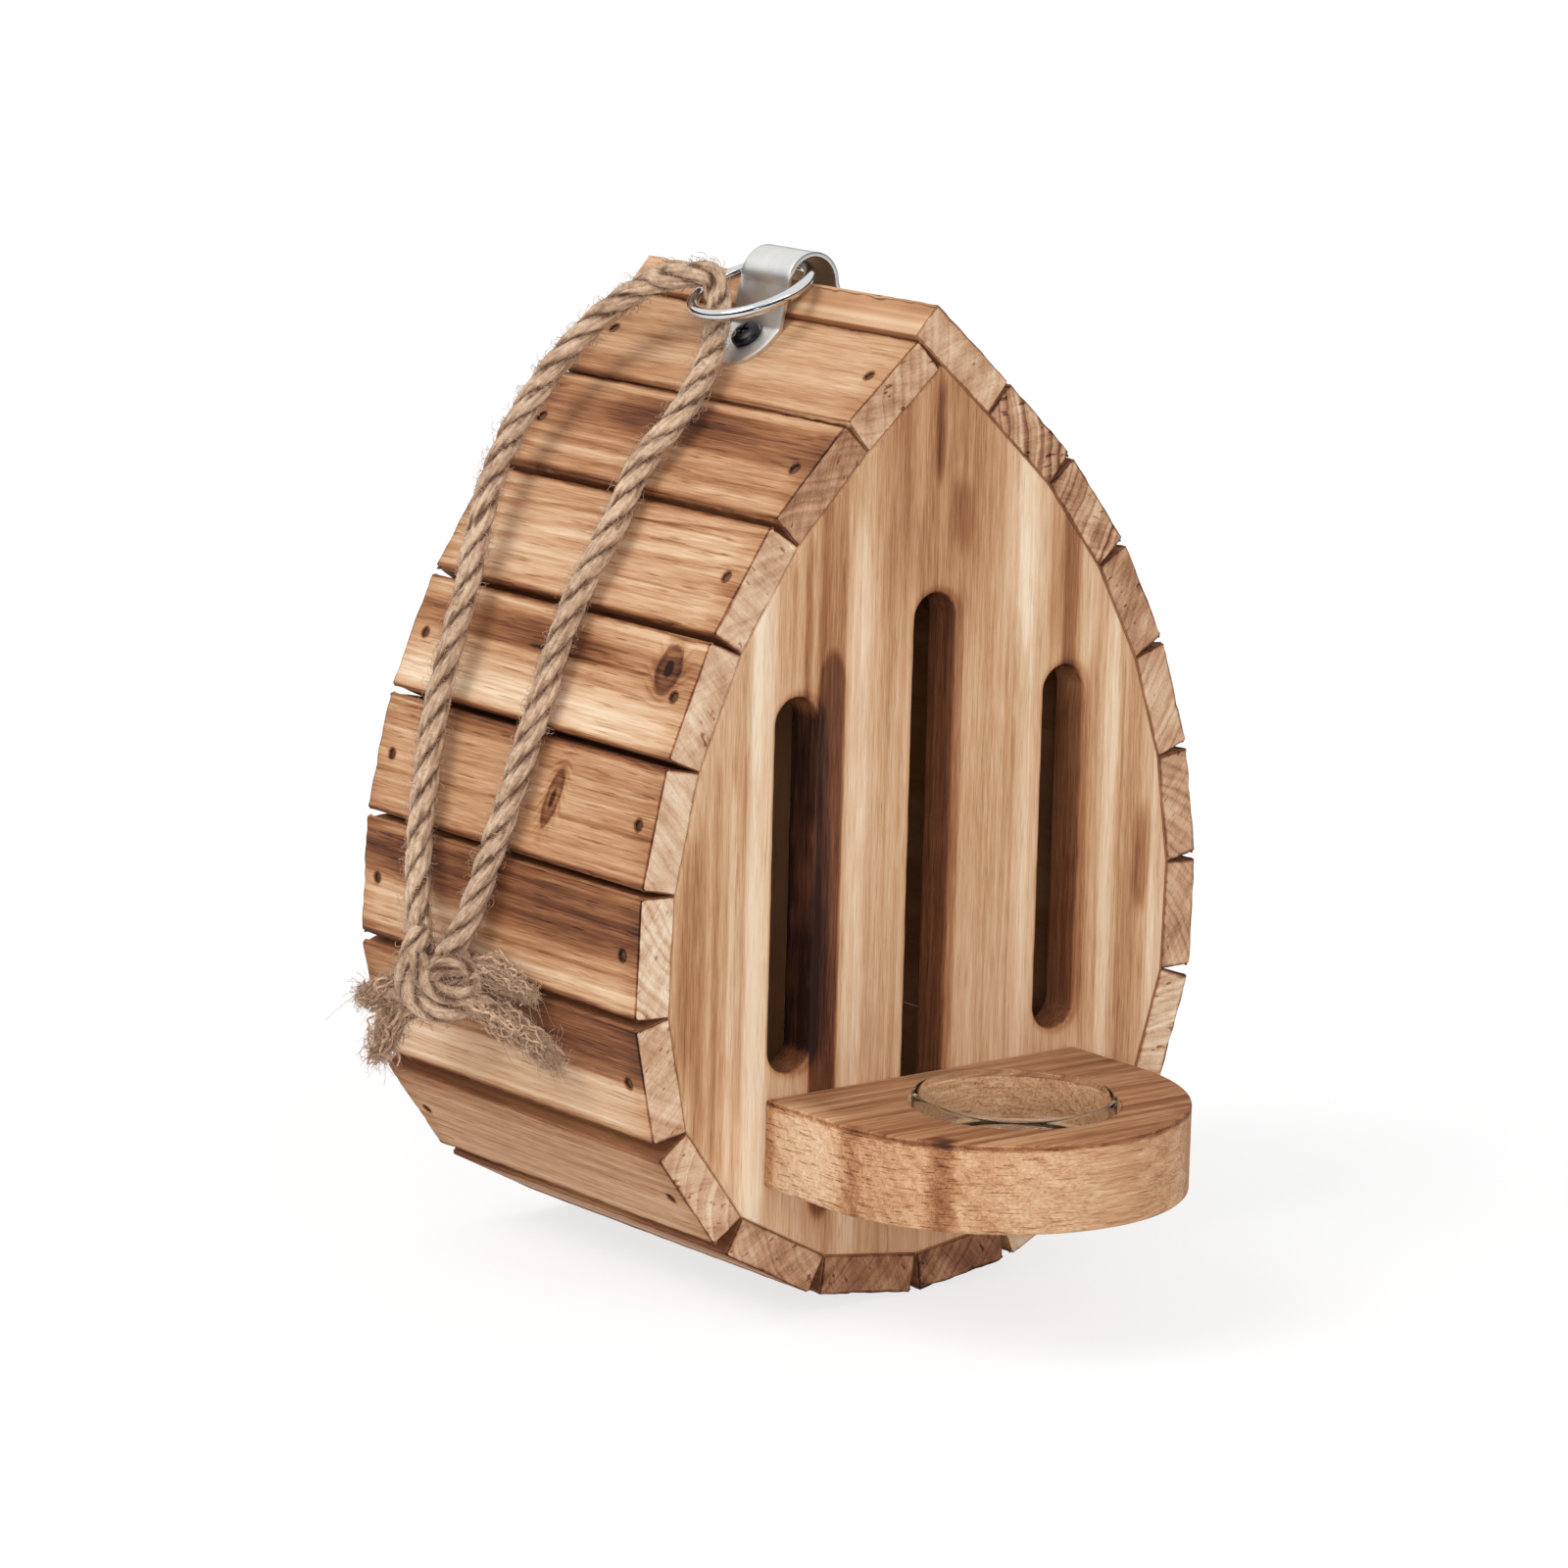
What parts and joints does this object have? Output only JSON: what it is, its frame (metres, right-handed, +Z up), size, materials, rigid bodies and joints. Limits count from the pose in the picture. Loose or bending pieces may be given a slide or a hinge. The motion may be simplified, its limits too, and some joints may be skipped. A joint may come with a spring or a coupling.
{
  "type": "butterfly feeder",
  "caption": "Teardrop butterfly feeder of burnt-grain wooden slats with a slotted front, a glass nectar dish on a small shelf, and a rope loop on a steel ring.",
  "frame": {"origin": "on the floor under the middle of the feeder, measured without the rope and its knot", "axes": "+Z up to the hanger, the slotted front faces -Y, +X to the right seen from the front"},
  "size_m": [0.1848, 0.177, 0.2376],
  "materials": {
    "slat_wood": "burnt and brushed softwood, bare",
    "panel_wood": "burnt and brushed softwood, bare",
    "shelf_wood": "burnt and brushed softwood, bare",
    "clear_glass": "clear pressed glass",
    "galvanised_strap": "satin zinc",
    "bright_ring": "bright nickel",
    "black_screw": "black oxide",
    "zinc_screw": "satin zinc",
    "brad_steel": "plain steel, dulled by the flame",
    "jute": "three-strand twisted jute"
  },
  "bodies": {
    "housing": {"front_panel": "panel_wood", "back_panel": "panel_wood", "shelf": "shelf_wood", "hanger_strap": "galvanised_strap", "front_brads": "brad_steel", "back_brads": "brad_steel", "strap_screws": "black_screw", "shelf_screws": "zinc_screw", "slat_left_1": "slat_wood", "slat_left_2": "slat_wood", "slat_left_3": "slat_wood", "slat_left_4": "slat_wood", "slat_left_5": "slat_wood", "slat_left_6": "slat_wood", "slat_left_7": "slat_wood", "slat_left_8": "slat_wood", "slat_left_9": "slat_wood", "slat_left_10": "slat_wood", "slat_right_1": "slat_wood", "slat_right_2": "slat_wood", "slat_right_3": "slat_wood", "slat_right_4": "slat_wood", "slat_right_5": "slat_wood", "slat_right_6": "slat_wood", "slat_right_7": "slat_wood", "slat_right_8": "slat_wood", "slat_right_9": "slat_wood", "slat_right_10": "slat_wood", "slat_right_11": "slat_wood"},
    "dish": {"nectar_dish": "clear_glass"},
    "ring": {"hanger_ring": "bright_ring", "rope": "jute", "rope_knot": "jute"}
  },
  "joints": [
    {"name": "ring_swing", "type": "hinge", "parent": "housing", "child": "ring", "pos_m": [-0.00203, 0.035, 0.23327], "axis": [0, 1, 0], "range_deg": [0, 210]},
    {"name": "dish_lift", "type": "slide", "parent": "housing", "child": "dish", "axis": [0, 0, 1], "range_m": [0, 0.03]}
  ]
}
